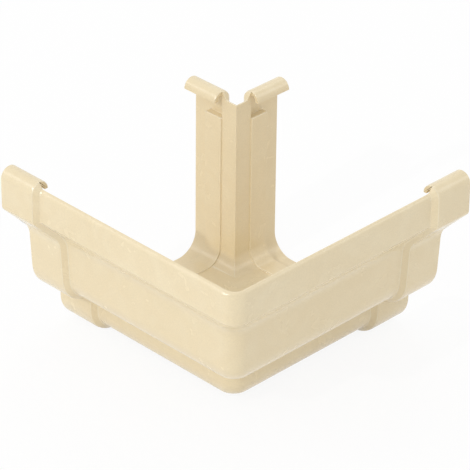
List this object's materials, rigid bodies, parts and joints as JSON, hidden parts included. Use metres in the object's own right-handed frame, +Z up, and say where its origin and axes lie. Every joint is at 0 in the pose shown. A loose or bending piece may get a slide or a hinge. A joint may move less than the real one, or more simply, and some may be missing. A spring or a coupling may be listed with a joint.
{
  "type": "gutter external angle",
  "caption": "Moulded external corner for an ogee gutter: channel arms meet at a right angle, each ending in a joggled socket with a rolled front clip and a back hook.",
  "frame": {"origin": "corner of the fascia boards that the angle goes round, at the height of the sockets' undersides", "axes": "+Z up; the left arm runs along -X with its back at y = 0, and the right arm along +Y with its back at x = 0; the outer corner points to +X and -Y"},
  "size_m": [0.1565, 0.1565, 0.1038],
  "materials": {
    "moulding": "smooth cream moulded plastic with a soft sheen"
  },
  "bodies": {
    "root": {"gutter_angle": "moulding"}
  },
  "joints": []
}
